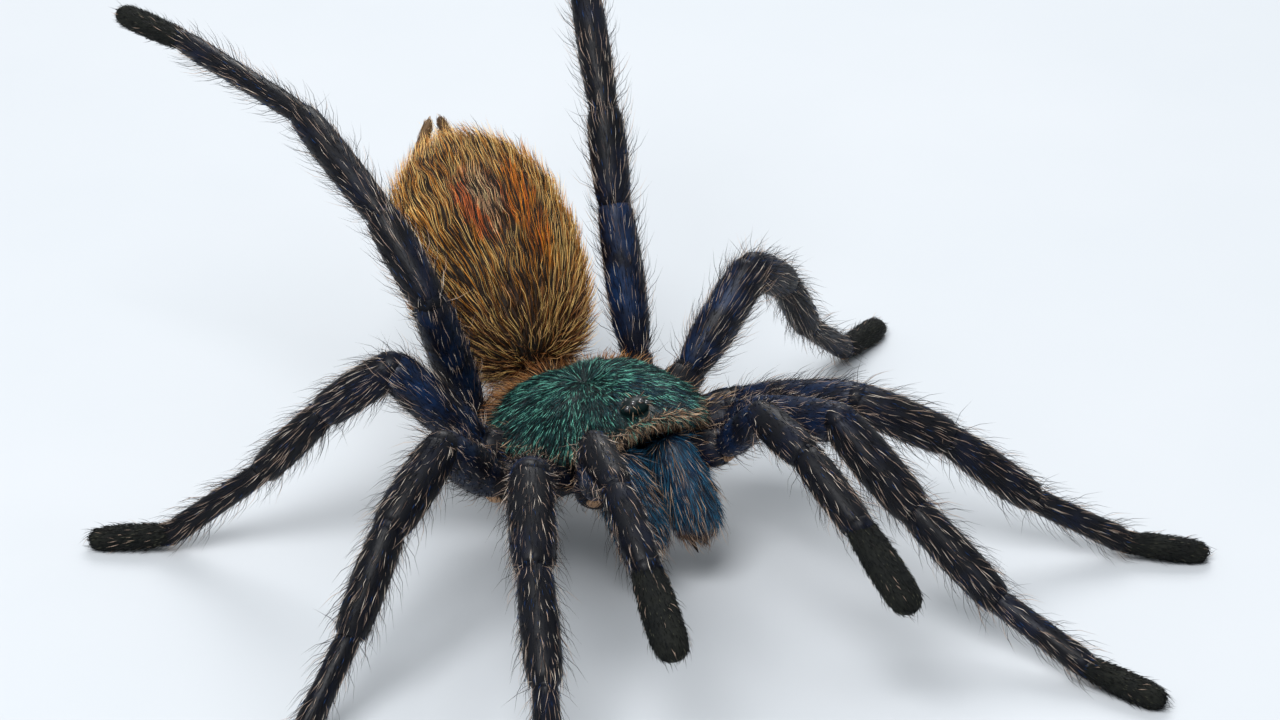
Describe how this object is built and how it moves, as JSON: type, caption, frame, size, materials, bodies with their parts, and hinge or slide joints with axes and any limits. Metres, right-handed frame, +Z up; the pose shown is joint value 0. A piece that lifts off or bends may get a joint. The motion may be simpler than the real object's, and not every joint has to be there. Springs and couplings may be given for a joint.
{
  "type": "tarantula specimen",
  "caption": "Dried tarantula specimen that stands on its feet with its abdomen and hind legs raised, for display or teaching.",
  "frame": {"origin": "middle of the bounding box at floor level", "axes": "+Z up, -Y the way the spider faces, +X its left"},
  "size_m": [0.1014, 0.116, 0.0469],
  "materials": {
    "carapace_hair": "short metallic green hair over a dark dry shell",
    "abdomen_hair": "long golden orange hair over a dark skin",
    "spinneret": "brown, finely haired",
    "chelicera_hair": "metallic blue with long pale brown hair",
    "fang": "glossy black",
    "femur_hair": "iridescent dark blue with pale bristles",
    "leg_hair": "blue black with pale bristles",
    "foot_pad": "dense short olive black pile"
  },
  "bodies": {
    "root": {"cephalothorax": "carapace_hair", "chelicera_left": "chelicera_hair", "fang_left": "fang", "chelicera_right": "chelicera_hair", "fang_right": "fang", "abdomen": "abdomen_hair", "spinneret_left": "spinneret", "spinneret_right": "spinneret", "leg_1_left_femur": "femur_hair", "leg_1_left_patella": "leg_hair", "leg_1_left_tibia": "leg_hair", "leg_1_left_metatarsus": "leg_hair", "leg_1_left_tarsus": "foot_pad", "leg_2_left_femur": "femur_hair", "leg_2_left_patella": "leg_hair", "leg_2_left_tibia": "leg_hair", "leg_2_left_metatarsus": "leg_hair", "leg_2_left_tarsus": "foot_pad", "leg_3_left_femur": "femur_hair", "leg_3_left_patella": "leg_hair", "leg_3_left_tibia": "leg_hair", "leg_3_left_metatarsus": "leg_hair", "leg_3_left_tarsus": "foot_pad", "leg_4_left_femur": "femur_hair", "leg_4_left_patella": "leg_hair", "leg_4_left_tibia": "leg_hair", "leg_4_left_metatarsus": "leg_hair", "leg_4_left_tarsus": "foot_pad", "leg_1_right_femur": "femur_hair", "leg_1_right_patella": "leg_hair", "leg_1_right_tibia": "leg_hair", "leg_1_right_metatarsus": "leg_hair", "leg_1_right_tarsus": "foot_pad", "leg_2_right_femur": "femur_hair", "leg_2_right_patella": "leg_hair", "leg_2_right_tibia": "leg_hair", "leg_2_right_metatarsus": "leg_hair", "leg_2_right_tarsus": "foot_pad", "leg_3_right_femur": "femur_hair", "leg_3_right_patella": "leg_hair", "leg_3_right_tibia": "leg_hair", "leg_3_right_metatarsus": "leg_hair", "leg_3_right_tarsus": "foot_pad", "leg_4_right_femur": "femur_hair", "leg_4_right_patella": "leg_hair", "leg_4_right_tibia": "leg_hair", "leg_4_right_metatarsus": "leg_hair", "leg_4_right_tarsus": "foot_pad", "palp_left_femur": "femur_hair", "palp_left_patella": "leg_hair", "palp_left_tibia": "leg_hair", "palp_left_tarsus": "foot_pad", "palp_right_femur": "femur_hair", "palp_right_patella": "leg_hair", "palp_right_tibia": "leg_hair", "palp_right_tarsus": "foot_pad"}
  },
  "joints": []
}
